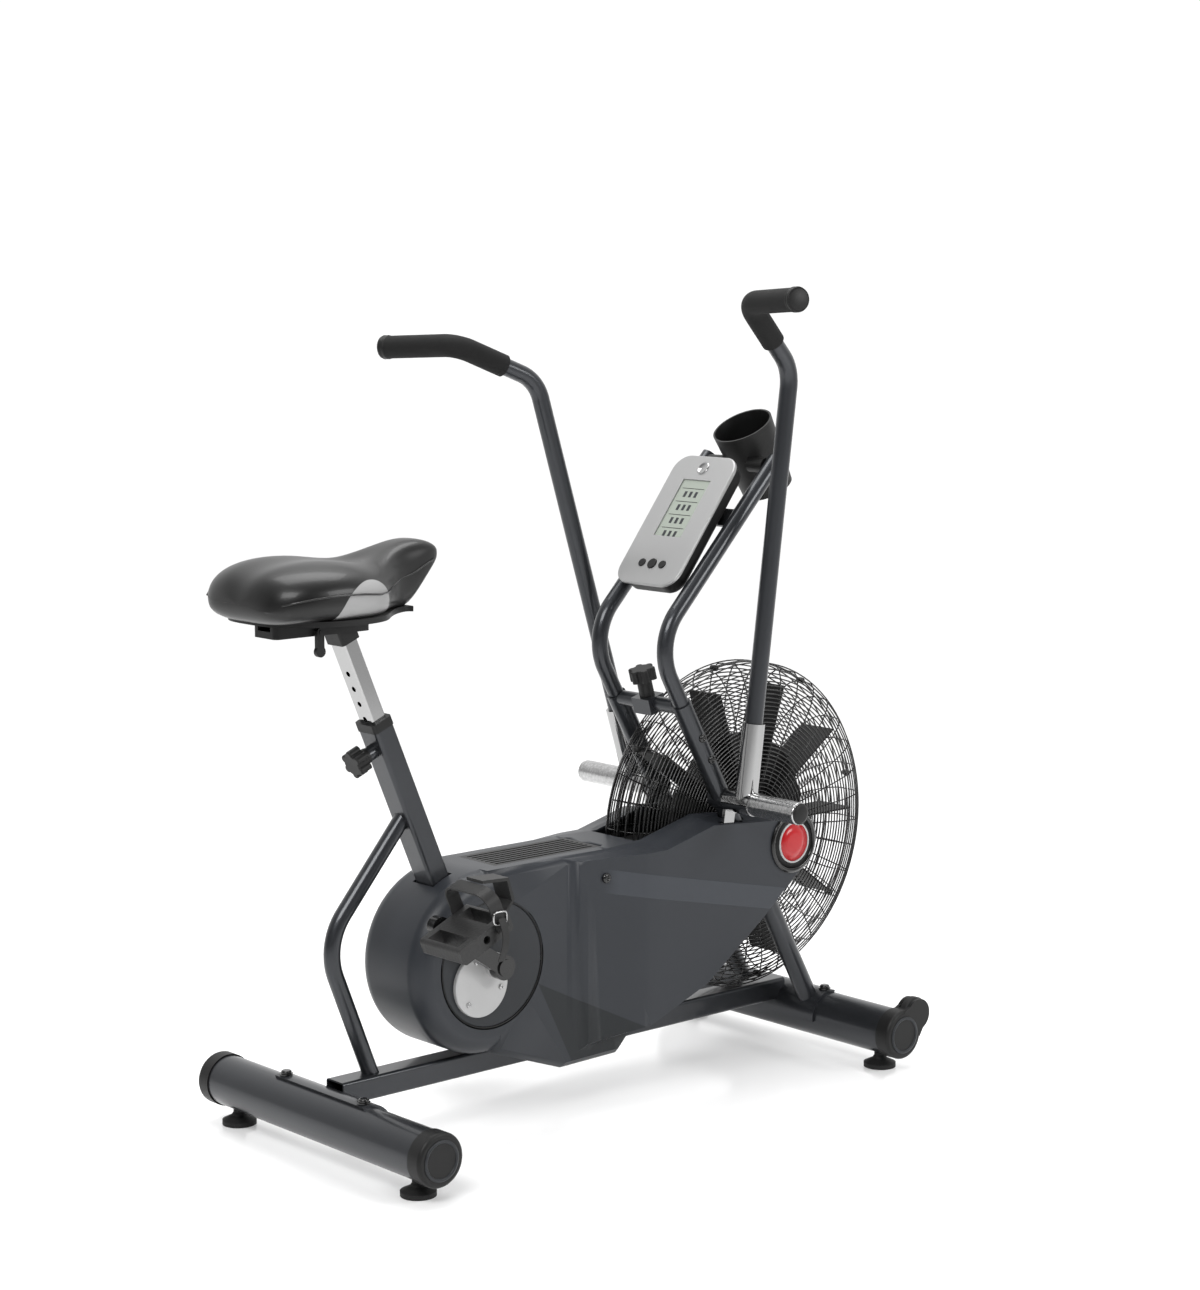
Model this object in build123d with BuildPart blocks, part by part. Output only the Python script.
"""Air bike: an exercise bike whose pedals and swinging handles turn a caged fan.

Frame: +X is forward (towards the fan), +Y is the rider's left, +Z is up. The origin is on the
floor at the middle of the bike's length. Distances marked "from the rear" are measured forward
from the axis of the rear stabilizer. All sizes are in millimetres.
"""
import os
from math import asin, atan2, cos, degrees, hypot, radians, sin, tan

from build123d import *

os.makedirs("parts", exist_ok=True)
SIDES = {"right": -1, "left": 1}

# ---------------------------------------------------------------- driving dimensions
REAR_X = -483.5            # rear stabilizer axis
WHEELBASE = 952.0          # rear to front stabilizer axis
GAP = 0.3                  # between curved faces of different pieces
RUN = 0.06                 # radial running clearance of pins and shafts

STAB_Z = 62.0              # stabilizer axis above the floor
STAB_R = 38.0
STAB_WALL = 2.5
STAB_HALF = 246.0          # half length of the bare tube
CAP_R = 40.0
CAP_HEAD = 27.0            # end cap beyond the tube
CAP_PLUG = 14.0            # end cap inside the tube
FOOT_Y = 220.0
FOOT_R = 26.0
STUD_R = 5.0
WHEEL_R = 27.0
WHEEL_W = 14.0
WHEEL_AHEAD = 34.0         # transport wheel axis ahead of and above the stabilizer axis
WHEEL_ABOVE = 28.0

BEAM_W = 42.0
BEAM_H = 35.0
BEAM_Z = 77.0              # underside of the beam
TUBE_WALL = 2.5
SADDLE_PLATE = 4.0         # curved plates that seat the beam on the stabilizers
PLATE_HALF = 108.0
PLATE_BOLT_Y = 95.0
BOLT_R = 5.0

CRANK_FROM_REAR = 257.0
CRANK_Z = 260.0
CRANK_LEN = 145.0
CRANK_DEG = 146.0          # right arm at rest, from +X towards +Z
SPINDLE_R = 10.0
SHELL_R = 25.0             # bottom bracket shell
SHELL_HALF = 34.0
DISC_R = 95.0              # round crank cover that turns with the crank
DISC_T = 4.0
THROW = 36.0               # eccentric throw that rocks the handles
THROW_DEG = 226.0
ECC_R = 50.0
ECC_T = 6.0
ARM_T = 15.0
PEDAL_Y = 162.0            # middle of the pedal
PEDAL_W = 92.0
PEDAL_L = 100.0
PEDAL_TILT = 24.0

SEAT_LEAN = 23.1           # seat tube from the vertical
SEAT_TUBE_D = 35.0         # along the bike
SEAT_TUBE_W = 45.0
SEAT_TUBE_UP = 398.0       # above the crank along the tube
POST_D = 25.0
POST_W = 34.0
POST_WALL = 2.0
POST_IN = 190.0            # length of post inside the tube
POST_OUT = 158.0           # length of post above the tube
PIN_R = 4.0                # spring pin of the height knob
PIN_DOWN = 30.0            # pin below the top of the tube
HOLE_PITCH = 25.0

FAN_FROM_REAR = 837.0
FAN_Z = 385.0
CAGE_R = 269.0
CAGE_HALF = 48.0
CAGE_HUB_R = 52.0
CAGE_HUB_Y = 43.0
CAGE_WIRE = 3.0
BLADES = 10
BLADE_R = 236.0
BLADE_HALF = 36.0
AXLE_R = 8.0
BELT_Y = 53.5
BELT_W = 7.0
BELT_T = 3.0
BIG_PULLEY_R = 92.0
SMALL_PULLEY_R = 22.0

LEG_Y = 76.0
LEG_R = 16.0
LEG_FOOT_FROM_REAR = 925.0
LEG_LEAN = 29.3
LEG_TOP_Z = 612.0
MAST_R = 14.0
BAR_Z = 606.0              # crossbar between the legs
BAR_R = 12.0

PIVOT_FROM_REAR = 730.0
PIVOT_Z = 451.0
SHAFT_R = 10.0
HUB_R = 19.0
HUB_IN = 93.0              # inner end of the lever hub
HUB_OUT = 150.0
PEG_R = 18.0
PEG_END = 250.0
ROCKER = 160.0             # rocker arm below the pivot
ROCKER_T = 6.0
ROD_LEN = 475.0
ROD_R = 3.4
ROD_EYE_Y = 62.2
EYE_R = 12.0
STUB_R = 7.5             # stub on the crank disc beside the rod eye
PRONG_T = 3.0
LEAN = {"right": 4.6, "left": -15.2}   # lever lean at rest, forward is positive
MID_LEAN = -5.3
LEVER_R = 14.0
LEVER_Y = 130.0            # lever at the pivot
LEVER_TOP = 684.0
SLEEVE_R = 18.0
SLEEVE_TOP = 128.0
GRIP_R = 18.0

SHROUD_WALL = 3.0
DRUM_R = 140.0             # round rear of the shroud, about the crank
DRUM_FACE = 75.0           # side face at the crank
LOBE_FACE = 106.0          # side face beside the fan
SHROUD_TOP = 400.0
OPEN_GAP = 2.0             # shroud to whatever passes through it

CONSOLE_W = 140.0
CONSOLE_L = 244.0
CONSOLE_T = 34.0
CONSOLE_LEAN = 37.5
HOLDER_R = 50.0
HOLDER_LEN = 118.0
HOLDER_TILT = 30.0

# ---------------------------------------------------------------- places worked out from them
FRONT_X = REAR_X + WHEELBASE
CRANK = (REAR_X + CRANK_FROM_REAR, CRANK_Z)
FAN = (REAR_X + FAN_FROM_REAR, FAN_Z)
PIVOT = (REAR_X + PIVOT_FROM_REAR, PIVOT_Z)
BEAM_TOP = BEAM_Z + BEAM_H
SEAT_UP = (-sin(radians(SEAT_LEAN)), cos(radians(SEAT_LEAN)))
LEG_UP = (-sin(radians(LEG_LEAN)), cos(radians(LEG_LEAN)))
LEG_FOOT = (REAR_X + LEG_FOOT_FROM_REAR, STAB_Z + STAB_R + SADDLE_PLATE)


def on_leg(z):
    """Point (x, z) of the fork leg's axis at height z."""
    return (LEG_FOOT[0] - (z - LEG_FOOT[1]) * tan(radians(LEG_LEAN)), z)


def on_seat(s, back=0.0):
    """Point (x, z) s above the crank along the seat tube and back behind its axis."""
    return (CRANK[0] + SEAT_UP[0] * s - SEAT_UP[1] * back, CRANK[1] + SEAT_UP[1] * s + SEAT_UP[0] * back)


def across(x, z, y):
    """Plane at y whose normal is -Y, with +X to its right and +Z up, centred on (x, z)."""
    return Plane(origin=(x, y, z), x_dir=(1, 0, 0), z_dir=(0, -1, 0))


def seat_plane(s):
    """Plane square to the seat tube, s above the crank. Its x runs forward, its y to the left."""
    x, z = on_seat(s)
    return Plane(origin=(x, 0, z), x_dir=(SEAT_UP[1], 0, -SEAT_UP[0]), z_dir=(SEAT_UP[0], 0, SEAT_UP[1]))


def save(part, name):
    part.label = name
    export_step(part, f"parts/{name}.step")


def cross_pin(x, z, y0, y1, radius, bore=0.0):
    """Round bar or ring along Y from y0 to y1."""
    low, high = sorted((y0, y1))
    with BuildPart() as pin:
        with BuildSketch(across(x, z, high)):
            Circle(radius)
            if bore:
                Circle(bore, mode=Mode.SUBTRACT)
        extrude(amount=high - low)
    return pin.part


def bent_tube(points, bend, radius, wall=0.0):
    """Tube swept along straight runs joined by arcs."""
    with BuildPart() as tube:
        with BuildLine() as path:
            if len(points) > 2:
                FilletPolyline(*points, radius=bend)
            else:
                Line(*points)
        with BuildSketch(Plane(origin=path.line @ 0, z_dir=path.line % 0)):
            Circle(radius)
            if wall:
                Circle(radius - wall, mode=Mode.SUBTRACT)
        sweep()
    return tube.part


# ---------------------------------------------------------------- base: stabilizers, caps, feet, wheels
def stabilizer(x):
    with BuildPart() as tube:
        with BuildSketch(across(x, STAB_Z, STAB_HALF)):
            Circle(STAB_R)
            Circle(STAB_R - STAB_WALL, mode=Mode.SUBTRACT)
        extrude(amount=2 * STAB_HALF)
        # threaded bosses for the levelling feet stand inside the tube
        for y in (-FOOT_Y, FOOT_Y):
            with BuildSketch(Plane.XY.offset(STAB_Z - STAB_R + 0.8)):
                with Locations((x, y)):
                    Circle(10)
            extrude(amount=16)
            with BuildSketch(Plane.XY.offset(STAB_Z - STAB_R - 1)):
                with Locations((x, y)):
                    Circle(STUD_R + RUN)
            extrude(amount=24, mode=Mode.SUBTRACT)
        # bolt holes for the saddle plate
        for y in (-PLATE_BOLT_Y, PLATE_BOLT_Y):
            with BuildSketch(Plane.XY.offset(STAB_Z)):
                with Locations((x, y)):
                    Circle(BOLT_R + RUN)
            extrude(amount=STAB_R + 2, mode=Mode.SUBTRACT)
    return tube.part


def cap_plug(x, side):
    """The part of an end cap that is pushed into the tube, and its round head."""
    inner = STAB_R - STAB_WALL - 0.1
    with BuildPart() as cap:
        with BuildSketch(across(x, STAB_Z, side * (STAB_HALF - CAP_PLUG))):
            Circle(inner)
            Circle(inner - 3, mode=Mode.SUBTRACT)
        extrude(amount=-side * CAP_PLUG)
        with BuildSketch(across(x, STAB_Z, side * STAB_HALF)):
            Circle(CAP_R)
        extrude(amount=-side * CAP_HEAD)
        fillet(cap.faces().sort_by(Axis.Y)[0 if side < 0 else -1].edges(), 6)
    return cap.part


def front_cap(side):
    """Front end caps carry an ear that houses the transport wheel."""
    wheel = (FRONT_X + WHEEL_AHEAD, STAB_Z + WHEEL_ABOVE)
    slot_mid = side * (STAB_HALF + CAP_HEAD / 2)
    ear_r = WHEEL_R - 1.5
    body = cap_plug(FRONT_X, side)
    with BuildPart() as cap:
        add(body)
        with BuildSketch(across(FRONT_X, STAB_Z, side * STAB_HALF)):
            with BuildLine():
                Polyline((0, CAP_R - 3), (WHEEL_AHEAD, WHEEL_ABOVE + ear_r),
                         (WHEEL_AHEAD + ear_r, WHEEL_ABOVE), (CAP_R - 3, -8), (0, 0), close=True)
            make_face()
            with Locations((WHEEL_AHEAD, WHEEL_ABOVE)):
                Circle(ear_r)
        extrude(amount=-side * CAP_HEAD)
        with BuildSketch(across(*wheel, slot_mid + (WHEEL_W / 2 + 1))):
            Circle(WHEEL_R + 2)
        extrude(amount=WHEEL_W + 2, mode=Mode.SUBTRACT)
        with BuildSketch(across(*wheel, slot_mid + CAP_HEAD / 2 - 3)):
            Circle(4 + RUN)
        extrude(amount=CAP_HEAD - 6, mode=Mode.SUBTRACT)
    return cap.part


def transport_wheel(side):
    wheel = (FRONT_X + WHEEL_AHEAD, STAB_Z + WHEEL_ABOVE)
    mid = side * (STAB_HALF + CAP_HEAD / 2)
    with BuildPart() as part:
        with BuildSketch(across(*wheel, mid + WHEEL_W / 2)):
            Circle(WHEEL_R)
        extrude(amount=WHEEL_W)
        fillet(part.edges().filter_by(GeomType.CIRCLE), 3)
        with BuildSketch(across(*wheel, mid + CAP_HEAD / 2 - 3.5)):
            Circle(4)
        extrude(amount=CAP_HEAD - 7)
    return part.part


def levelling_foot(x, y):
    """Rubber-faced pad with a threaded stud and a lock nut."""
    nut_top = STAB_Z - STAB_R - GAP
    with BuildPart() as foot:
        with BuildSketch(Plane(origin=(x, y, 0), x_dir=(1, 0, 0), z_dir=(0, -1, 0))):
            with BuildLine():
                Polyline((0, 0), (FOOT_R, 0), (FOOT_R, 7), (12, 14), (9, nut_top - 5), (9, nut_top),
                         (STUD_R, nut_top), (STUD_R, nut_top + 32), (0, nut_top + 32), close=True)
            make_face()
        revolve(axis=Axis((x, y, 0), (0, 0, 1)))
    return foot.part


for name, x in (("rear_stabilizer", REAR_X), ("front_stabilizer", FRONT_X)):
    save(stabilizer(x), name)
save(Compound(children=[cap_plug(REAR_X, side) for side in SIDES.values()]), "rear_end_caps")
save(Compound(children=[front_cap(side) for side in SIDES.values()]), "front_end_caps")
for word, side in SIDES.items():
    save(transport_wheel(side), f"transport_wheel_{word}")
    save(levelling_foot(REAR_X, side * FOOT_Y), f"rear_foot_{word}")
    save(levelling_foot(FRONT_X, side * FOOT_Y), f"front_foot_{word}")

# ---------------------------------------------------------------- welded base beam
PLATE_R = STAB_R + 0.05
with BuildPart() as base_beam:
    with BuildSketch(Plane.YZ.offset(REAR_X + STAB_R / 2)):
        with Locations((0, BEAM_Z + BEAM_H / 2)):
            RectangleRounded(BEAM_W, BEAM_H, 5)
            RectangleRounded(BEAM_W - 2 * TUBE_WALL, BEAM_H - 2 * TUBE_WALL, 3, mode=Mode.SUBTRACT)
    extrude(amount=WHEELBASE - STAB_R)
    for x, lean in ((REAR_X, 1), (FRONT_X, -1)):
        with BuildSketch(across(x, STAB_Z, PLATE_HALF)):
            Circle(PLATE_R + SADDLE_PLATE)
        extrude(amount=2 * PLATE_HALF, mode=Mode.SUBTRACT)
        # curved saddle plate over the top and the inner side of the stabilizer
        with BuildSketch(across(x, STAB_Z, PLATE_HALF)) as ring:
            Circle(PLATE_R + SADDLE_PLATE)
            Circle(PLATE_R, mode=Mode.SUBTRACT)
            with BuildLine():
                Polyline((0, 0), (-lean * 25, 90), (lean * 90, 90), (lean * 90, -10), close=True)
            make_face(mode=Mode.INTERSECT)
        extrude(amount=2 * PLATE_HALF)
        for y in (-PLATE_BOLT_Y, PLATE_BOLT_Y):
            with BuildSketch(Plane.XY.offset(STAB_Z)):
                with Locations((x, y)):
                    Circle(BOLT_R + RUN)
            extrude(amount=STAB_R + 12, mode=Mode.SUBTRACT)
save(base_beam.part, "base_beam")


def plate_bolt(x, y):
    top = STAB_Z + PLATE_R + SADDLE_PLATE
    with BuildPart() as bolt:
        with BuildSketch(Plane.XY.offset(top + 0.05)):
            with Locations((x, y)):
                Circle(10)
        extrude(amount=2)
        with BuildSketch(Plane.XY.offset(top + 2.05)):
            with Locations((x, y)):
                Circle(8)
        extrude(amount=5)
        fillet(bolt.faces().sort_by(Axis.Z)[-1].edges(), 3)
        with BuildSketch(Plane.XY.offset(top - 26)):
            with Locations((x, y)):
                Circle(BOLT_R)
        extrude(amount=27)
    return bolt.part


bolts = [plate_bolt(x, y) for x in (REAR_X, FRONT_X) for y in (-PLATE_BOLT_Y, PLATE_BOLT_Y)]
save(Compound(children=bolts), "stabilizer_bolts")

# ---------------------------------------------------------------- seat tube, strut and post
seat_foot = (CRANK_Z - BEAM_TOP) / SEAT_UP[1]
with BuildPart() as seat_tube:
    with BuildSketch(seat_plane(-seat_foot - 30)):
        RectangleRounded(SEAT_TUBE_D, SEAT_TUBE_W, 6)
    extrude(amount=seat_foot + 30 + SEAT_TUBE_UP)
    with BuildSketch(across(*CRANK, SHELL_HALF)):
        Circle(SHELL_R)
    extrude(amount=2 * SHELL_HALF)
    with BuildSketch(seat_plane(SHELL_R + 12)):
        RectangleRounded(SEAT_TUBE_D - 2 * TUBE_WALL, SEAT_TUBE_W - 2 * TUBE_WALL, 3.5)
    extrude(amount=SEAT_TUBE_UP, mode=Mode.SUBTRACT)
    with BuildSketch(across(*CRANK, SHELL_HALF + 1)):
        Circle(SHELL_R - 4)
    extrude(amount=2 * SHELL_HALF + 2, mode=Mode.SUBTRACT)
    with BuildSketch(Plane.XY.offset(BEAM_TOP)):
        with Locations((CRANK[0] + 60, 0)):
            Rectangle(300, 120)
    extrude(amount=-80, mode=Mode.SUBTRACT)
    # socket for the spring pin on the rear face
    knob_at = on_seat(SEAT_TUBE_UP - PIN_DOWN)
    with BuildSketch(Plane(origin=(knob_at[0], 0, knob_at[1]), z_dir=(-SEAT_UP[1], 0, SEAT_UP[0]))):
        Circle(11)
    extrude(amount=SEAT_TUBE_D / 2 + 14)
    with BuildSketch(seat_plane(SHELL_R + 40)):
        RectangleRounded(SEAT_TUBE_D - 2 * TUBE_WALL, SEAT_TUBE_W - 2 * TUBE_WALL, 3.5)
    extrude(amount=SEAT_TUBE_UP, mode=Mode.SUBTRACT)
    with BuildSketch(Plane(origin=(knob_at[0], 0, knob_at[1]), z_dir=(-SEAT_UP[1], 0, SEAT_UP[0]))):
        Circle(PIN_R + RUN)
    extrude(amount=SEAT_TUBE_D, mode=Mode.SUBTRACT)
save(seat_tube.part, "seat_tube")

BUSH_UP = 14.0
with BuildPart() as post_bush:
    with BuildSketch(seat_plane(SEAT_TUBE_UP - 60)):
        RectangleRounded(SEAT_TUBE_D - 2 * TUBE_WALL - 0.2, SEAT_TUBE_W - 2 * TUBE_WALL - 0.2, 3.4)
    extrude(amount=60)
    with BuildSketch(seat_plane(SEAT_TUBE_UP)):
        RectangleRounded(SEAT_TUBE_D + 2, SEAT_TUBE_W + 2, 6)
    extrude(amount=BUSH_UP)
    with BuildSketch(seat_plane(SEAT_TUBE_UP - 61)):
        RectangleRounded(POST_D + 0.6, POST_W + 0.6, 3.3)
    extrude(amount=62 + BUSH_UP, mode=Mode.SUBTRACT)
    with BuildSketch(Plane(origin=(knob_at[0], 0, knob_at[1]), z_dir=(-SEAT_UP[1], 0, SEAT_UP[0]))):
        Circle(PIN_R + 0.5)
    extrude(amount=SEAT_TUBE_D, mode=Mode.SUBTRACT)
save(post_bush.part, "post_bush")

with BuildPart() as seat_post:
    with BuildSketch(seat_plane(SEAT_TUBE_UP - POST_IN)):
        RectangleRounded(POST_D, POST_W, 3)
        RectangleRounded(POST_D - 2 * POST_WALL, POST_W - 2 * POST_WALL, 1.2, mode=Mode.SUBTRACT)
    extrude(amount=POST_IN + POST_OUT)
    # row of height holes on the rear face, one of them at the pin
    for step in range(-6, 6):
        x, z = on_seat(SEAT_TUBE_UP - PIN_DOWN + step * HOLE_PITCH)
        with BuildSketch(Plane(origin=(x, 0, z), z_dir=(-SEAT_UP[1], 0, SEAT_UP[0]))):
            Circle(PIN_R + 0.3)
        extrude(amount=POST_D, mode=Mode.SUBTRACT)
save(seat_post.part, "seat_post")

PIN_IN = POST_D / 2 + GAP
with BuildPart() as seat_knob:
    back = Plane(origin=(knob_at[0], 0, knob_at[1]), z_dir=(-SEAT_UP[1], 0, SEAT_UP[0]))
    with BuildSketch(back.offset(PIN_IN)):
        Circle(PIN_R)
    extrude(amount=48)
    with BuildSketch(back.offset(SEAT_TUBE_D / 2 + 14 + 0.5)):
        Circle(12)
    extrude(amount=10)
    with BuildSketch(back.offset(SEAT_TUBE_D / 2 + 24)):
        Circle(17)
        with PolarLocations(16, 6):
            Circle(6)
    extrude(amount=20)
    outward = Axis((0, 0, 0), (-SEAT_UP[1], 0, SEAT_UP[0]))
    fillet(seat_knob.faces().sort_by(outward)[-1].edges(), 2)
save(seat_knob.part, "seat_knob")

strut_top = on_seat(244, SEAT_TUBE_D / 2 + 8)
STRUT_R = 12.5
STRUT_KNEE = (REAR_X + 3, 316)
STRUT_FOOT = (REAR_X + 84, BEAM_TOP)
with BuildPart() as rear_strut:
    add(bent_tube([(STRUT_FOOT[0] + 8, 0, STRUT_FOOT[1] - 22), (STRUT_KNEE[0], 0, STRUT_KNEE[1]),
                   (strut_top[0] + 26, 0, strut_top[1] + 30)], 90, STRUT_R))
    with BuildSketch(Plane.XY.offset(BEAM_TOP)):
        with Locations((STRUT_FOOT[0], 0)):
            Rectangle(120, 60)
    extrude(amount=-60, mode=Mode.SUBTRACT)
    with BuildSketch(seat_plane(SEAT_TUBE_UP - 300)):
        Rectangle(SEAT_TUBE_D, SEAT_TUBE_W)
    extrude(amount=300, mode=Mode.SUBTRACT)
    with BuildSketch(seat_plane(SEAT_TUBE_UP - 300)):
        with Locations((40, 0)):
            Rectangle(80, SEAT_TUBE_W)
    extrude(amount=300, mode=Mode.SUBTRACT)
save(rear_strut.part, "rear_strut")

# ---------------------------------------------------------------- saddle on its fore-and-aft slide
POST_TOP = on_seat(SEAT_TUBE_UP + POST_OUT)
RAIL_Z = POST_TOP[1] + 2       # underside of the carriage
RAIL_H = 22.0
RAIL_W = 56.0
RAIL_BACK = 132.0              # carriage behind the post
RAIL_AHEAD = 34.0
PAN_Z = RAIL_Z + RAIL_H + GAP
PAN_T = 8.0
SADDLE_X = POST_TOP[0]         # saddle sizes are measured from the top of the post
SADDLE_TAIL = 178.0
SADDLE_NOSE = 168.0
SADDLE_HALF = 122.0
SADDLE_PLAN = [(-SADDLE_TAIL, 0), (-0.93 * SADDLE_TAIL, 70), (-0.48 * SADDLE_TAIL, SADDLE_HALF),
               (10, 108), (62, 60), (110, 38), (SADDLE_NOSE - 14, 30), (SADDLE_NOSE, 0)]
SADDLE_SIDE = [(-SADDLE_TAIL, 20), (-SADDLE_TAIL + 14, 56), (-SADDLE_TAIL + 80, 82), (-30, 84), (20, 82),
               (70, 102), (SADDLE_NOSE - 50, 108), (SADDLE_NOSE - 10, 96), (SADDLE_NOSE, 80),
               (SADDLE_NOSE - 30, 34), (SADDLE_NOSE - 80, 4), (-SADDLE_TAIL + 60, 4)]

with BuildPart() as saddle_carriage:
    with BuildSketch(Plane.XY.offset(RAIL_Z)):
        with Locations((POST_TOP[0] + (RAIL_AHEAD - RAIL_BACK) / 2, 0)):
            RectangleRounded(RAIL_AHEAD + RAIL_BACK, RAIL_W, 8)
    extrude(amount=RAIL_H)
    # channel for the slide bar under the pan
    with BuildSketch(Plane.XY.offset(RAIL_Z + RAIL_H - 12)):
        with Locations((POST_TOP[0] + (RAIL_AHEAD - RAIL_BACK) / 2, 0)):
            Rectangle(RAIL_AHEAD + RAIL_BACK + 2, 30)
    extrude(amount=12, mode=Mode.SUBTRACT)
    # collar round the top of the post
    with BuildSketch(seat_plane(SEAT_TUBE_UP + POST_OUT - 14)):
        RectangleRounded(POST_D + 8, POST_W + 8, 5)
    extrude(amount=22)
    with BuildSketch(Plane.XY.offset(RAIL_Z + RAIL_H - 12)):
        Rectangle(4 * RAIL_BACK + 2000, 30)
    extrude(amount=40, mode=Mode.SUBTRACT)
    with BuildSketch(seat_plane(SEAT_TUBE_UP + POST_OUT - 16)):
        RectangleRounded(POST_D + 0.1, POST_W + 0.1, 3)
    extrude(amount=16.05, mode=Mode.SUBTRACT)
    # bore of the lock lever
    add(cross_pin(POST_TOP[0] - 60, RAIL_Z + 6, -RAIL_W, RAIL_W, 3 + RUN), mode=Mode.SUBTRACT)
save(saddle_carriage.part, "saddle_carriage")

TRAVEL = 25.0
BAR_SLIDE_H = 10.0
with BuildPart() as saddle_pan:
    with BuildSketch(Plane.XY.offset(PAN_Z)):
        with BuildLine(Plane.XY):
            half = Spline(*[(SADDLE_X + 0.9 * x, 0.9 * y) for x, y in SADDLE_PLAN[:-2]],
                          (SADDLE_X + 0.62 * SADDLE_NOSE, 0), tangents=((0, 1), (0, -1)))
            mirror(half, about=Plane.XZ)
        make_face()
    extrude(amount=PAN_T)
    with BuildSketch(Plane.XY.offset(PAN_Z - BAR_SLIDE_H)):
        with Locations((POST_TOP[0] + (RAIL_AHEAD - RAIL_BACK) / 2, 0)):
            Rectangle(RAIL_AHEAD + RAIL_BACK - 2 * TRAVEL, 29.4)
    extrude(amount=BAR_SLIDE_H + 0.5)
save(saddle_pan.part, "saddle_pan")

CUSHION_Z = PAN_Z + PAN_T
with BuildPart() as saddle_cushion:
    with BuildSketch(Plane.XY.offset(PAN_Z - 30)):
        with BuildLine(Plane.XY):
            outline = Spline(*[(SADDLE_X + x, y) for x, y in SADDLE_PLAN], tangents=((0, 1), (0, -1)))
            mirror(outline, about=Plane.XZ)
        make_face()
    extrude(amount=160)
    with BuildSketch(across(SADDLE_X, CUSHION_Z - 12, 150)):
        with BuildLine():
            Polyline(*SADDLE_SIDE, close=True)
        make_face()
    extrude(amount=300, mode=Mode.INTERSECT)
    with BuildSketch(Plane.XY.offset(PAN_Z - 40)):
        with Locations((SADDLE_X, 0)):
            Rectangle(600, 400)
    extrude(amount=40 + PAN_T + 0.05, mode=Mode.SUBTRACT)
save(saddle_cushion.part, "saddle_cushion")

LEVER_AT = (POST_TOP[0] - 60, RAIL_Z + 6)
with BuildPart() as saddle_lever:
    add(cross_pin(*LEVER_AT, -RAIL_W / 2 - 9, RAIL_W / 2 - 6, 3))
    with BuildSketch(across(*LEVER_AT, -RAIL_W / 2 - 1)):
        with Locations((0, -14)):
            Rectangle(12, 28)
        Circle(6)
        with Locations((0, -28)):
            Circle(8)
    extrude(amount=7)
save(saddle_lever.part, "saddle_lever")

# ---------------------------------------------------------------- crank, pedals and belt drive
BEARING_W = 12.0
with BuildPart() as crank_bearings:
    for y in (SHELL_HALF - 2, -SHELL_HALF + 2 + BEARING_W):
        with BuildSketch(across(*CRANK, y)):
            Circle(SHELL_R - 4 - 0.02)
            Circle(SPINDLE_R + RUN, mode=Mode.SUBTRACT)
        extrude(amount=BEARING_W)
save(crank_bearings.part, "crank_bearings")

DISC_IN = DRUM_FACE - 1 - DISC_T
ARM_IN = DRUM_FACE + ECC_T + 8
ARM_OUT = ARM_IN + ARM_T
save(cross_pin(*CRANK, -ARM_IN - 4, ARM_IN + 4, SPINDLE_R), "crank_spindle")

with BuildPart() as crank_pulley:
    with BuildSketch(across(*CRANK, BELT_Y + BELT_W / 2 + 1)):
        Circle(BIG_PULLEY_R)
        Circle(SPINDLE_R + 0.02, mode=Mode.SUBTRACT)
        with PolarLocations(58, 6):
            Circle(20, mode=Mode.SUBTRACT)
    extrude(amount=BELT_W + 2)
    with BuildSketch(across(*CRANK, BELT_Y - BELT_W / 2 + 0.5)):
        Circle(20)
        Circle(SPINDLE_R + 0.02, mode=Mode.SUBTRACT)
    extrude(amount=10)
save(crank_pulley.part, "crank_pulley")


def throw_point(side):
    """Centre of the eccentric on each side: the two are half a turn apart."""
    turn = radians(THROW_DEG if side < 0 else THROW_DEG + 180)
    return (CRANK[0] + THROW * cos(turn), CRANK[1] + THROW * sin(turn))


def crank_disc(side):
    """Round cover with the stub that the drive rod's rear eye would ride on."""
    with BuildPart() as disc:
        with BuildSketch(across(*CRANK, side * DISC_IN)):
            Circle(DISC_R)
            Circle(SPINDLE_R + 0.02, mode=Mode.SUBTRACT)
        extrude(amount=-side * DISC_T)
        fillet(disc.faces().sort_by(Axis.Y)[0 if side < 0 else -1].edges().sort_by(SortBy.LENGTH)[-1], 1.5)
        with BuildSketch(across(*throw_point(side), side * DISC_IN)):
            Circle(STUB_R)
        extrude(amount=side * 3)
    return disc.part


def eccentric_plate(side):
    start = side * (DRUM_FACE - 1 + 0.05)
    with BuildPart() as plate:
        with BuildSketch(across(*throw_point(side), start)):
            Circle(ECC_R)
        extrude(amount=-side * ECC_T)
        fillet(plate.faces().sort_by(Axis.Y)[0 if side < 0 else -1].edges(), 2)
        with BuildSketch(across(*CRANK, start)):
            Circle(19)
        extrude(amount=-side * (ARM_IN - DRUM_FACE + 0.5))
        with BuildSketch(across(*CRANK, start + side * 30)):
            Circle(SPINDLE_R + 0.02)
        extrude(amount=side * 60, mode=Mode.SUBTRACT)
    return plate.part


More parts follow.
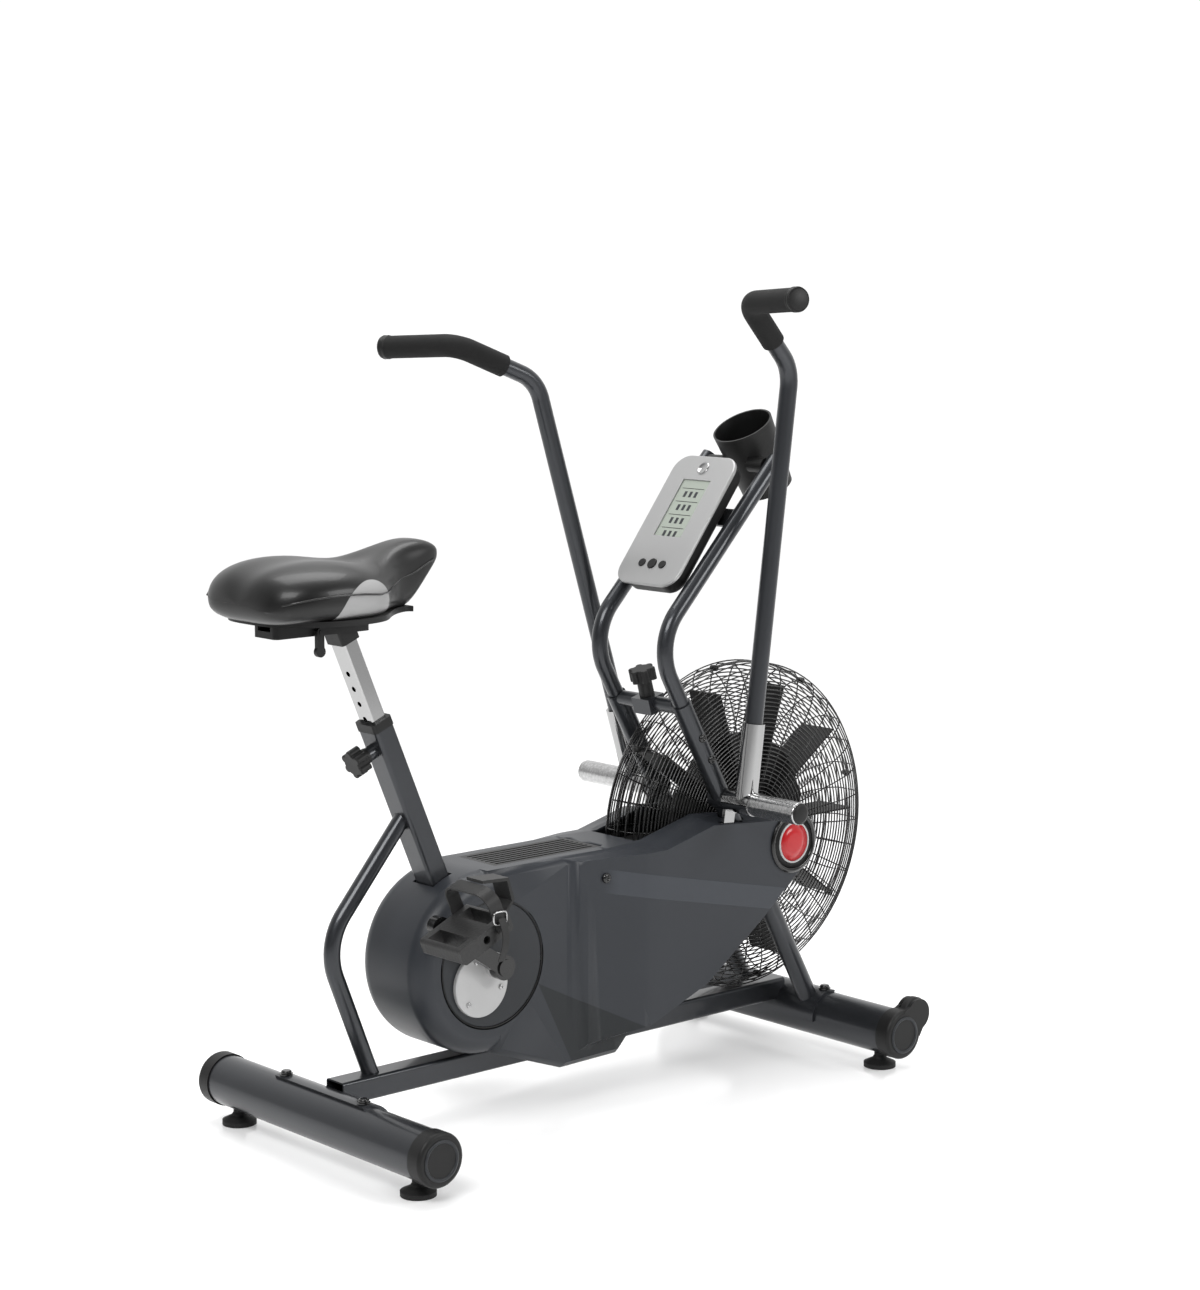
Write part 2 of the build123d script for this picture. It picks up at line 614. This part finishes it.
def crank_arm(side):
    turn = radians(CRANK_DEG if side < 0 else CRANK_DEG + 180)
    end = (CRANK_LEN * cos(turn), CRANK_LEN * sin(turn))
    with BuildPart() as arm:
        with BuildSketch(across(*CRANK, side * ARM_IN)):
            with Locations((end[0] / 2, end[1] / 2)):
                Rectangle(CRANK_LEN, 26, rotation=degrees(turn))
            Circle(19)
            with Locations(end):
                Circle(15)
        extrude(amount=-side * ARM_T)
        with BuildSketch(across(*CRANK, side * (ARM_IN - 1))):
            Circle(SPINDLE_R + 0.02)
        extrude(amount=-side * 5.1, mode=Mode.SUBTRACT)
        with BuildSketch(across(*CRANK, side * ARM_OUT)):
            Circle(13)
        extrude(amount=-side * 3)
        # threaded pedal spindle
        with BuildSketch(across(CRANK[0] + end[0], CRANK[1] + end[1], side * ARM_OUT)):
            Circle(6)
        extrude(amount=-side * (PEDAL_Y + PEDAL_W / 2 - 8 - ARM_OUT))
    return arm.part


def pedal_at(side):
    turn = radians(CRANK_DEG if side < 0 else CRANK_DEG + 180)
    return (CRANK[0] + CRANK_LEN * cos(turn), CRANK[1] + CRANK_LEN * sin(turn))


def pedal_plane(side, tilt=PEDAL_TILT):
    """Plane on the pedal's middle with its x along the tread, its y up through it, looking along Y."""
    x, z = pedal_at(side)
    t = radians(tilt)
    return Plane(origin=(x, side * PEDAL_Y, z), x_dir=(cos(t), 0, sin(t)), z_dir=(0, -1, 0))


def pedal(side):
    """Moulded pedal body: a frame with a core round the spindle and two cross bars."""
    with BuildPart() as body:
        with BuildSketch(pedal_plane(side).offset(-PEDAL_W / 2)):
            RectangleRounded(PEDAL_L, 26, 6)
        extrude(amount=PEDAL_W)
        for x in (-PEDAL_L / 4 - 5, PEDAL_L / 4 + 5):
            with BuildSketch(pedal_plane(side).offset(-PEDAL_W / 2 + 12)):
                with Locations((x, 0)):
                    Rectangle(24, 40)
            extrude(amount=PEDAL_W - 24, mode=Mode.SUBTRACT)
        with BuildSketch(pedal_plane(side).offset(-PEDAL_W / 2 - 1)):
            Circle(6 + RUN)
        extrude(amount=PEDAL_W + 2, mode=Mode.SUBTRACT)
    return body.part


def toe_cage(side):
    """Toe clip ahead of the pedal and the strap that goes over the foot."""
    base = pedal_plane(side)
    with BuildPart() as cage:
        with BuildSketch(base.offset(-18)):
            with BuildLine():
                Polyline((PEDAL_L / 2 + 0.5, -10), (PEDAL_L / 2 + 36, 8), (PEDAL_L / 2 + 40, 44),
                         (PEDAL_L / 2 - 4, 66), (PEDAL_L / 2 - 6, 62), (PEDAL_L / 2 + 35, 41),
                         (PEDAL_L / 2 + 31, 10), (PEDAL_L / 2 + 0.5, -5), close=True)
            make_face()
        extrude(amount=36)
    strap = Plane(origin=base.origin, x_dir=(0, 1, 0), z_dir=base.x_dir)
    outer, inner = PEDAL_W / 2 + 4, PEDAL_W / 2 + 1
    with BuildPart() as band:
        with BuildSketch(strap.offset(PEDAL_L / 2 - 30)):
            flip = 1 if (strap.y_dir.Z > 0) else -1
            with Locations((0, flip * 20)):
                RectangleRounded(2 * outer, 84, 24)
                RectangleRounded(2 * inner, 78, 21, mode=Mode.SUBTRACT)
            with Locations((0, flip * -12)):
                Rectangle(2 * outer + 2, 20.5, mode=Mode.SUBTRACT)
        extrude(amount=22)
    return cage.part, band.part


save(Compound(children=[crank_disc(s) for s in SIDES.values()]), "crank_discs")
save(Compound(children=[eccentric_plate(s) for s in SIDES.values()]), "eccentric_plates")
save(Compound(children=[crank_arm(s) for s in SIDES.values()]), "crank_arms")
for word, side in SIDES.items():
    save(pedal(side), f"pedal_{word}")
    clip, band = toe_cage(side)
    save(Compound(children=[clip, band]), f"toe_strap_{word}")

centres = hypot(FAN[0] - CRANK[0], FAN[1] - CRANK[1])
belt_turn = atan2(FAN[1] - CRANK[1], FAN[0] - CRANK[0])
belt_wrap = asin((BIG_PULLEY_R - SMALL_PULLEY_R) / centres)


def belt_outline(extra):
    """Closed outline round both pulleys, extra outside their rims."""
    big, small = BIG_PULLEY_R + extra, SMALL_PULLEY_R + extra
    ends = []
    for sign in (1, -1):
        turn = belt_turn + sign * (radians(90) - belt_wrap)
        ends.append(((big * cos(turn), big * sin(turn)),
                     (FAN[0] - CRANK[0] + small * cos(turn), FAN[1] - CRANK[1] + small * sin(turn))))
    (a, b), (d, c) = ends[0], ends[1]
    tip = (FAN[0] - CRANK[0] + small * cos(belt_turn), FAN[1] - CRANK[1] + small * sin(belt_turn))
    Line(a, b)
    ThreePointArc(b, tip, c)
    Line(c, d)
    ThreePointArc(d, (-big * cos(belt_turn), -big * sin(belt_turn)), a)


with BuildPart() as drive_belt:
    with BuildSketch(across(*CRANK, BELT_Y + BELT_W / 2)):
        with BuildLine():
            belt_outline(GAP + BELT_T)
        make_face()
        with BuildLine():
            belt_outline(GAP)
        make_face(mode=Mode.SUBTRACT)
    extrude(amount=BELT_W)
save(drive_belt.part, "drive_belt")

# ---------------------------------------------------------------- fork legs, masts and crossbar
PLATE_OUT = PLATE_R + SADDLE_PLATE
BOSS_R = 17.0
BRACKET_T = 6.0
MAST_KNEE_Z = 710.0
MAST_TOP = (REAR_X + 846, 985)
MAST_BEND = 87.0
STEP_DOWN = 36.0           # the mast is pushed this far into the leg


def leg_plane(z, y):
    x, z = on_leg(z)
    return Plane(origin=(x, y, z), x_dir=(0, 1, 0), z_dir=(LEG_UP[0], 0, LEG_UP[1]))


def fork_leg(side):
    """Leg with the handle pivot boss and the bracket that holds the fan axle."""
    y = side * LEG_Y
    with BuildPart() as leg:
        with BuildSketch(leg_plane(STAB_Z + 10, y)):
            Circle(LEG_R)
        extrude(amount=(LEG_TOP_Z - STAB_Z - 10) / LEG_UP[1])
        with BuildSketch(across(FRONT_X, STAB_Z, 200)):
            Circle(PLATE_OUT)
        extrude(amount=400, mode=Mode.SUBTRACT)
        with BuildSketch(across(*PIVOT, y + side * LEG_R)):
            Circle(BOSS_R)
        extrude(amount=side * 2 * LEG_R)
        anchor = on_leg(FAN_Z + 20)
        low = on_leg(FAN_Z - 45)
        with BuildSketch(across(0, 0, y + BRACKET_T / 2)):
            with BuildLine():
                Polyline(anchor, (FAN[0], FAN_Z + 16), (FAN[0] + 16, FAN_Z),
                         (FAN[0], FAN_Z - 16), low, close=True)
            make_face()
            with Locations(FAN):
                Circle(17)
        extrude(amount=BRACKET_T)
        add(cross_pin(*FAN, y - 20, y + 20, AXLE_R + RUN), mode=Mode.SUBTRACT)
        add(cross_pin(*PIVOT, y - 40, y + 40, SHAFT_R + 0.02), mode=Mode.SUBTRACT)
        # socket for the mast
        with BuildSketch(leg_plane(LEG_TOP_Z - STEP_DOWN - 6, y)):
            Circle(MAST_R - 1 + 0.05)
        extrude(amount=STEP_DOWN + 40, mode=Mode.SUBTRACT)
    return leg.part


def mast(side):
    y = side * LEG_Y
    start, knee = on_leg(LEG_TOP_Z - STEP_DOWN), on_leg(MAST_KNEE_Z)
    return bent_tube([(start[0], y, start[1]), (knee[0], y, knee[1]), (MAST_TOP[0], y, MAST_TOP[1])],
                     MAST_BEND, MAST_R - 1)


save(Compound(children=[fork_leg(s) for s in SIDES.values()]), "fork_legs")

bar_at = on_leg(BAR_Z)
KNOB_TILT = 16.0
knob_axis = (-sin(radians(KNOB_TILT)), 0, cos(radians(KNOB_TILT)))
KNOB_X = bar_at[0] - 2
knob_plane = Plane(origin=(KNOB_X, 0, BAR_Z), z_dir=knob_axis)
with BuildPart() as crossbar:
    add(cross_pin(*bar_at, -LEG_Y, LEG_Y, BAR_R))
    with BuildSketch(knob_plane.offset(-14)):
        Rectangle(34, 40)
    extrude(amount=26)
    for side in SIDES.values():
        with BuildSketch(leg_plane(STAB_Z, side * LEG_Y)):
            Circle(LEG_R)
        extrude(amount=900, mode=Mode.SUBTRACT)
    with BuildSketch(knob_plane.offset(-20)):
        Circle(4 + RUN)
    extrude(amount=60, mode=Mode.SUBTRACT)
save(crossbar.part, "crossbar")

with BuildPart() as mast_knob:
    with BuildSketch(knob_plane.offset(-12)):
        Circle(4)
    extrude(amount=40)
    with BuildSketch(knob_plane.offset(12.5)):
        Circle(12)
    extrude(amount=26)
    with BuildSketch(knob_plane.offset(38.5)):
        Circle(17)
        with PolarLocations(16, 6):
            Circle(6)
    extrude(amount=20)
    fillet(mast_knob.faces().sort_by(Axis((0, 0, 0), knob_axis))[-1].edges(), 2)
save(mast_knob.part, "mast_knob")

# ---------------------------------------------------------------- fan, its axle and its cage
NUT_R = 12.0
with BuildPart() as fan_axle:
    add(cross_pin(*FAN, -LEG_Y - 14, LEG_Y + 14, AXLE_R))
    for side in SIDES.values():
        with BuildSketch(across(*FAN, side * (LEG_Y + BRACKET_T / 2 + 0.05))):
            RegularPolygon(NUT_R, 6)
        extrude(amount=-side * 8)
save(fan_axle.part, "fan_axle")

HUB_HALF = 40.0
RING_MID = 150.0
with BuildPart() as fan_wheel:
    add(cross_pin(*FAN, -HUB_HALF, HUB_HALF, 30))
    add(cross_pin(*FAN, -2, 2, RING_MID))
    for n in range(BLADES):
        turn = 360 / BLADES * n
        with BuildSketch(across(*FAN, BLADE_HALF)):
            with Locations(Rotation(0, 0, turn)):
                with Locations(((28 + BLADE_R) / 2, 0)):
                    Rectangle(BLADE_R - 28, 3)
        extrude(amount=2 * BLADE_HALF)
    add(cross_pin(*FAN, -HUB_HALF - 2, BELT_Y - BELT_W / 2 - 1.5, 13))
    add(cross_pin(*FAN, -100, 100, AXLE_R + RUN), mode=Mode.SUBTRACT)
save(fan_wheel.part, "fan_wheel")

with BuildPart() as fan_pulley:
    add(cross_pin(*FAN, BELT_Y - BELT_W / 2 - 1.4, BELT_Y + BELT_W / 2 + 1, SMALL_PULLEY_R))
    add(cross_pin(*FAN, 0, 100, AXLE_R + RUN), mode=Mode.SUBTRACT)
save(fan_pulley.part, "fan_pulley")

RINGS = 20
SPOKES = 8
CAGE_PROFILE = [(CAGE_HUB_R, CAGE_HUB_Y), (214, CAGE_HALF - CAGE_WIRE / 2), (CAGE_R - CAGE_WIRE / 2, 30),
                (CAGE_R - CAGE_WIRE / 2, 2.2)]


def cage_half(side):
    """Wire guard: concentric rings joined by radial wires, with a round plate at the hub."""
    face = Plane(origin=(FAN[0], 0, FAN[1]), x_dir=(1, 0, 0), z_dir=(0, 0, 1))
    spin = Axis((FAN[0], 0, FAN[1]), (0, 1, 0))
    points = [(r, side * y) for r, y in CAGE_PROFILE]
    with BuildLine(Plane.XY) as outline:
        FilletPolyline(*points, radius=[60, 26])
    spots = [outline.line @ (n / RINGS) for n in range(RINGS + 1)]
    with BuildPart() as star:
        for n in range(SPOKES):
            with BuildSketch(across(*FAN, 100)):
                with Locations(Rotation(0, 0, 360 / SPOKES * (n + 0.5))):
                    with Locations((150, 0)):
                        Rectangle(300, CAGE_WIRE)
            extrude(amount=200)
    with BuildPart() as cage:
        with BuildSketch(face) as band:
            with BuildLine() as wire:
                FilletPolyline(*points, radius=[60, 26])
            trace(line_width=CAGE_WIRE)
        revolve(axis=spin)
        add(star.part, mode=Mode.INTERSECT)
        with BuildSketch(face):
            for spot in spots:
                with Locations((spot.X, spot.Y)):
                    Rectangle(CAGE_WIRE + 0.4, CAGE_WIRE + 0.4)
            with Locations(((20 + CAGE_HUB_R) / 2, side * CAGE_HUB_Y)):
                Rectangle(CAGE_HUB_R - 20, CAGE_WIRE)
        revolve(axis=spin)
    return cage.part


for word, side in SIDES.items():
    save(cage_half(side), f"cage_{word}")

# ---------------------------------------------------------------- handles, pegs and drive rods


def lever_point(side, ahead, out, up):
    """World point of a place on the lever: ahead of it, out from the middle, up from the pivot."""
    lean = radians(LEAN["right" if side < 0 else "left"])
    return (PIVOT[0] + ahead * cos(lean) + up * sin(lean), side * out,
            PIVOT[1] - ahead * sin(lean) + up * cos(lean))


def rocker_end(side):
    """The rocker hangs straight down when the lever is in the middle of its swing."""
    off = radians(LEAN["right" if side < 0 else "left"] - MID_LEAN)
    return (PIVOT[0] - ROCKER * sin(off), PIVOT[1] - ROCKER * cos(off))


LEVER_BEND = (0, LEVER_Y + 36, LEVER_TOP)
GRIP_BEND = (-122, LEVER_Y + 58, LEVER_TOP + 93)
GRIP_END = (-158, LEVER_Y + 198, LEVER_TOP + 97)
BEND_R = [60, 38]
SLEEVE_LOW = 20.0


def along_lever(up):
    """Place on the straight part of the lever."""
    return (0, LEVER_Y + (LEVER_BEND[1] - LEVER_Y) * up / LEVER_TOP, up)


def handle_base(side):
    """Hub that turns on the shaft, rocker arm inside the shroud and sleeve for the lever."""
    low = Vector(*lever_point(side, *along_lever(0)))
    aim = Vector(*lever_point(side, *along_lever(LEVER_TOP))) - low
    end = rocker_end(side)
    middle = ((PIVOT[0] + end[0]) / 2, (PIVOT[1] + end[1]) / 2)
    lean = degrees(atan2(PIVOT[1] - end[1], PIVOT[0] - end[0]))
    with BuildPart() as base:
        with BuildSketch(Plane(origin=low, z_dir=aim)):
            Circle(SLEEVE_R)
        extrude(amount=SLEEVE_TOP)
        with BuildSketch(Plane(origin=low, z_dir=aim).offset(SLEEVE_LOW)):
            Circle(LEVER_R + 0.05)
        extrude(amount=SLEEVE_TOP, mode=Mode.SUBTRACT)
        with BuildSketch(across(*PIVOT, side * HUB_IN)):
            Circle(HUB_R)
        extrude(amount=-side * (HUB_OUT - HUB_IN))
        with BuildSketch(across(*middle, side * HUB_IN)):
            Rectangle(ROCKER, 22, rotation=lean)
        extrude(amount=-side * ROCKER_T)
        with BuildSketch(across(*end, side * HUB_IN)):
            Circle(11)
        extrude(amount=-side * ROCKER_T)
        with BuildSketch(across(*PIVOT, side * (HUB_IN - 1))):
            Circle(SHAFT_R + RUN)
        extrude(amount=-side * (HUB_OUT - HUB_IN + 2), mode=Mode.SUBTRACT)
        with BuildSketch(across(*end, side * (HUB_IN - 1))):
            Circle(5 + RUN)
        extrude(amount=-side * (ROCKER_T + 2), mode=Mode.SUBTRACT)
    return base.part


def handle_tube(side):
    start = along_lever(SLEEVE_LOW + 6)
    stops = [lever_point(side, *p) for p in (start, LEVER_BEND, GRIP_BEND, GRIP_END)]
    return bent_tube(stops, BEND_R, LEVER_R, 2.5)


def grip(side):
    """Foam sleeve over the bent end of the lever, open at both ends."""
    share = 0.42
    start = [a + share * (b - a) for a, b in zip(LEVER_BEND, GRIP_BEND)]
    path = [lever_point(side, *p) for p in (start, GRIP_BEND, GRIP_END)]
    return bent_tube(path, BEND_R[1], GRIP_R, GRIP_R - LEVER_R - 0.05)


def foot_peg(side):
    """Fixed pivot shaft with the foot peg on its outer end."""
    with BuildPart() as peg:
        add(cross_pin(*PIVOT, side * (LEG_Y - LEG_R), side * (HUB_OUT + 20), SHAFT_R))
        with BuildSketch(across(*PIVOT, side * (HUB_OUT + GAP))):
            Circle(PEG_R)
        extrude(amount=-side * (PEG_END - HUB_OUT - GAP))
        fillet(peg.faces().sort_by(Axis.Y)[0 if side < 0 else -1].edges(), 3)
    return peg.part


def drive_rod(side):
    """Rod from the rocker to the crank's eccentric, stepping in towards the crank."""
    end, aim = rocker_end(side), throw_point(side)
    span = hypot(aim[0] - end[0], aim[1] - end[1])
    unit = ((aim[0] - end[0]) / span, (aim[1] - end[1]) / span)

    def spot(run, y):
        return (end[0] + unit[0] * run, side * y, end[1] + unit[1] * run)

    out = HUB_IN + ROCKER_T / 2
    eye = spot(ROD_LEN, ROD_EYE_Y)
    with BuildPart() as part:
        add(bent_tube([spot(20, out), spot(130, out), spot(265, ROD_EYE_Y), spot(ROD_LEN - EYE_R + 1.5, ROD_EYE_Y)],
                      40, ROD_R))
        # fork at the rocker end, eye at the crank end
        turn = degrees(atan2(unit[1], unit[0]))
        for y in (HUB_IN - GAP - PRONG_T, HUB_IN + ROCKER_T + GAP):
            with BuildSketch(across(end[0], end[1], side * y)):
                Circle(9)
                with Locations((unit[0] * 11, unit[1] * 11)):
                    Rectangle(22, 18, rotation=turn)
            extrude(amount=-side * PRONG_T)
        with BuildSketch(across(end[0], end[1], side * (HUB_IN - GAP - PRONG_T))):
            Circle(5)
            with Locations((unit[0] * 19, unit[1] * 19)):
                Rectangle(6, 18, rotation=turn)
        extrude(amount=-side * (ROCKER_T + 2 * (PRONG_T + GAP)))
        with BuildSketch(across(eye[0], eye[2], side * (ROD_EYE_Y - 3))):
            Circle(EYE_R)
        extrude(amount=-side * 6)
        with BuildSketch(across(eye[0], eye[2], side * (ROD_EYE_Y - 4))):
            Circle(STUB_R + 0.5)
        extrude(amount=-side * 8, mode=Mode.SUBTRACT)
    return part.part


for word, side in SIDES.items():
    save(handle_base(side), f"handle_base_{word}")
    save(handle_tube(side), f"handle_{word}")
    save(grip(side), f"grip_{word}")
    save(drive_rod(side), f"drive_rod_{word}")
save(Compound(children=[foot_peg(s) for s in SIDES.values()]), "foot_pegs")

# ---------------------------------------------------------------- console and bottle holder
CONSOLE_AT = (REAR_X + 699, 893)       # middle of the face
lean = radians(CONSOLE_LEAN)
face_plane = Plane(origin=(CONSOLE_AT[0], 0, CONSOLE_AT[1]),
                   x_dir=(0, -1, 0), z_dir=(-cos(lean), 0, sin(lean)))
FACE_T = 5.0
CASE_W = 121.0
CASE_WALL = 2.5
LCD = (62.0, 108.0)
LCD_UP = 22.0
BUTTONS = {"left": (-23.0, 7.0), "middle": (0.0, 9.0), "right": (23.0, 7.0)}
BUTTON_UP = -84.0
BUTTON_TRAVEL = 1.0

with BuildPart() as console_face:
    with BuildSketch(face_plane.offset(-FACE_T)):
        RectangleRounded(CONSOLE_W, CONSOLE_L, 30)
    extrude(amount=FACE_T)
    fillet(console_face.faces().sort_by(Axis((0, 0, 0), (-cos(lean), 0, sin(lean))))[-1].edges(), 2.5)
    with BuildSketch(face_plane.offset(-FACE_T - 1)):
        with Locations((0, LCD_UP)):
            Rectangle(LCD[0], LCD[1])
        for place, radius in BUTTONS.values():
            with Locations((place, BUTTON_UP)):
                Circle(radius + 0.4)
    extrude(amount=FACE_T + 2, mode=Mode.SUBTRACT)
save(console_face.part, "console_face")

with BuildPart() as console_case:
    with BuildSketch(face_plane.offset(-FACE_T)):
        RectangleRounded(CASE_W, CONSOLE_L - 8, 26)
    extrude(amount=-(CONSOLE_T - FACE_T))
    fillet(console_case.faces().sort_by(Axis((0, 0, 0), (cos(lean), 0, -sin(lean))))[-1].edges(), 8)
    with BuildSketch(face_plane.offset(-FACE_T)):
        RectangleRounded(CASE_W - 2 * CASE_WALL, CONSOLE_L - 8 - 2 * CASE_WALL, 23)
    extrude(amount=-(CONSOLE_T - FACE_T - CASE_WALL - 6), mode=Mode.SUBTRACT)
save(console_case.part, "console_case")

with BuildPart() as console_lens:
    with BuildSketch(face_plane.offset(-FACE_T + 0.5)):
        with Locations((0, LCD_UP)):
            Rectangle(LCD[0] - 0.2, LCD[1] - 0.2)
    extrude(amount=2.5)
save(console_lens.part, "console_lens")

for word, (place, radius) in BUTTONS.items():
    with BuildPart() as button:
        with BuildSketch(face_plane.offset(-FACE_T - 4)):
            with Locations((place, BUTTON_UP)):
                Circle(radius)
        extrude(amount=FACE_T + 4 + 1.8)
        fillet(button.faces().sort_by(Axis((0, 0, 0), (-cos(lean), 0, sin(lean))))[-1].edges(), 1)
    save(button.part, f"console_button_{word}")


def on_mast(z):
    """Point (x, z) on the upper straight of the masts."""
    knee = on_leg(MAST_KNEE_Z)
    share = (z - knee[1]) / (MAST_TOP[1] - knee[1])
    return (knee[0] + share * (MAST_TOP[0] - knee[0]), z)


# cross plate between the masts that the console is screwed to
BRACKET_Z = 895.0
mast_turn = atan2(MAST_TOP[0] - on_leg(MAST_KNEE_Z)[0], MAST_TOP[1] - MAST_KNEE_Z)
mast_at = on_mast(BRACKET_Z)
mast_plane = Plane(origin=(mast_at[0], 0, mast_at[1]),
                   x_dir=(0, -1, 0), z_dir=(-cos(mast_turn), 0, sin(mast_turn)))
with BuildPart() as console_bracket:
    with BuildSketch(mast_plane.offset(-2)):
        Rectangle(2 * LEG_Y, 34)
    extrude(amount=4)
    with BuildSketch(mast_plane):
        Rectangle(40, 30)
    extrude(amount=40)
    with BuildSketch(face_plane.offset(-CONSOLE_T)):
        Rectangle(300, 300)
    extrude(amount=60, mode=Mode.SUBTRACT)
    for side in SIDES.values():
        with BuildSketch(mast_plane.offset(-30)):
            with Locations((side * (LEG_Y - 2), 0)):
                Rectangle(2 * MAST_R - 3, 60)
        extrude(amount=60, mode=Mode.SUBTRACT)
save(Compound(children=[mast(s) for s in SIDES.values()] + [console_bracket.part]), "masts")

tilt = radians(HOLDER_TILT)
HOLDER_TOP = (REAR_X + 845, 1036)
holder_axis = (-sin(tilt), 0, cos(tilt))
holder_plane = Plane(origin=(HOLDER_TOP[0], 0, HOLDER_TOP[1]),
                     x_dir=(cos(tilt), 0, sin(tilt)), z_dir=holder_axis)
HOLDER_WALL = 3.0
ear_at = on_mast(975)
with BuildPart() as bottle_holder:
    with BuildSketch(holder_plane.offset(-HOLDER_LEN)):
        Circle(HOLDER_R - 8)
    with BuildSketch(holder_plane):
        Circle(HOLDER_R)
    loft()
    for side in SIDES.values():
        with BuildSketch(across(*ear_at, side * (LEG_Y - MAST_R + 1))):
            Circle(12)
        extrude(amount=side * 34)
    with BuildSketch(holder_plane.offset(-HOLDER_LEN + HOLDER_WALL)):
        Circle(HOLDER_R - 8 - HOLDER_WALL)
    with BuildSketch(holder_plane.offset(0.01)):
        Circle(HOLDER_R - HOLDER_WALL)
    loft(mode=Mode.SUBTRACT)
save(bottle_holder.part, "bottle_holder")

# ---------------------------------------------------------------- shroud halves and top vent
# side outline ahead of the round rear, measured from the rear
SHROUD_SIDE = [(257, 400), (490, 400), (575, 401), (683, 428), (757, 422), (840, 416), (902, 404),
               (926, 370), (926, 341), (804, 243), (671, 150), (541, 101), (513, 73), (399, 71), (262, 120.2)]
LOBE_SIDE = [(400, 398), (575, 398), (683, 425), (757, 419), (840, 413), (900, 402), (923, 369), (923, 343),
             (803, 246), (670, 153), (541, 104), (420, 90)]
VENT = (288.0, 500.0, 44.0)            # from, to and half width


def side_points(points):
    return [(REAR_X + x, z) for x, z in points]


def shrink(points, share):
    """The same outline drawn in towards its own middle."""
    cx = sum(x for x, _ in points) / len(points)
    cz = sum(z for _, z in points) / len(points)
    return [(cx + (x - cx) * share, cz + (z - cz) * share) for x, z in points]


def shroud_block(side, inset):
    """Solid shape of one half, drawn in by inset on every wall but the middle one."""
    face = DRUM_FACE - inset
    with BuildPart() as block:
        with BuildSketch(across(*CRANK, 0)):
            Circle(DRUM_R - inset)
        extrude(amount=-side * face)
        far = block.faces().sort_by(Axis.Y)[0 if side < 0 else -1]
        fillet(far.edges(), 30 - inset)
        with BuildSketch(across(0, 0, 0)):
            with BuildLine():
                Polyline(*side_points(SHROUD_SIDE), close=True)
            make_face()
            if inset:
                offset(amount=-inset)
        extrude(amount=-side * (face - 12))
        with BuildSketch(across(0, 0, side * (face - 12))):
            with BuildLine():
                Polyline(*side_points(SHROUD_SIDE), close=True)
            make_face()
            if inset:
                offset(amount=-inset)
        extrude(amount=-side * 12, taper=40)
        with BuildSketch(across(0, 0, side * (face - 12))):
            with BuildLine():
                Polyline(*shrink(side_points(LOBE_SIDE), 1 - inset / 150), close=True)
            make_face()
        with BuildSketch(across(0, 0, side * (LOBE_FACE - inset))):
            with BuildLine():
                Polyline(*shrink(side_points(LOBE_SIDE), 0.93 - inset / 150), close=True)
            make_face()
        loft()
    return block.part


def shroud(side):
    outer, inner = shroud_block(side, 0), shroud_block(side, SHROUD_WALL)
    rocker_x = ROCKER * sin(radians(14)) / 4
    with BuildPart() as half:
        add(outer)
        add(inner, mode=Mode.SUBTRACT)
        # openings for the crank disc, the cage, the beam, the seat tube, the legs and the rocker
        add(cross_pin(*CRANK, side * 60, side * 90, DISC_R + OPEN_GAP), mode=Mode.SUBTRACT)
        add(cross_pin(*FAN, -side, side * (CAGE_HALF + 3), CAGE_R + 4), mode=Mode.SUBTRACT)
        with BuildSketch(Plane.YZ.offset(REAR_X)):
            with Locations((0, BEAM_Z + BEAM_H / 2)):
                Rectangle(BEAM_W + 2 * OPEN_GAP, BEAM_H + 2)
        extrude(amount=WHEELBASE, mode=Mode.SUBTRACT)
        with BuildSketch(seat_plane(0)):
            Rectangle(SEAT_TUBE_D + 2 * OPEN_GAP, SEAT_TUBE_W + 2 * OPEN_GAP)
        extrude(amount=SEAT_TUBE_UP, mode=Mode.SUBTRACT)
        with BuildSketch(leg_plane(STAB_Z, side * LEG_Y)):
            Circle(LEG_R + OPEN_GAP)
        extrude(amount=900, mode=Mode.SUBTRACT)
        with BuildSketch(Plane.XY.offset(SHROUD_TOP - 10)):
            with Locations((PIVOT[0], side * (HUB_IN + ROCKER_T / 2))):
                Rectangle(2 * (rocker_x + 16), ROCKER_T + 2 * OPEN_GAP)
        extrude(amount=60, mode=Mode.SUBTRACT)
        with BuildSketch(Plane.XY.offset(SHROUD_TOP - 8)):
            with Locations((REAR_X + (VENT[0] + VENT[1]) / 2, 0)):
                Rectangle(VENT[1] - VENT[0], 2 * VENT[2])
        extrude(amount=20, mode=Mode.SUBTRACT)
    return half.part


for word, side in SIDES.items():
    save(shroud(side), f"shroud_{word}")

with BuildPart() as shroud_vent:
    with BuildSketch(Plane.XY.offset(SHROUD_TOP - SHROUD_WALL)):
        with Locations((REAR_X + (VENT[0] + VENT[1]) / 2, 0)):
            Rectangle(VENT[1] - VENT[0] - 0.4, 2 * VENT[2] - 0.4)
            with GridLocations(0, 11, 1, 7):
                SlotOverall(VENT[1] - VENT[0] - 16, 5, mode=Mode.SUBTRACT)
    extrude(amount=SHROUD_WALL)
save(shroud_vent.part, "shroud_vent")
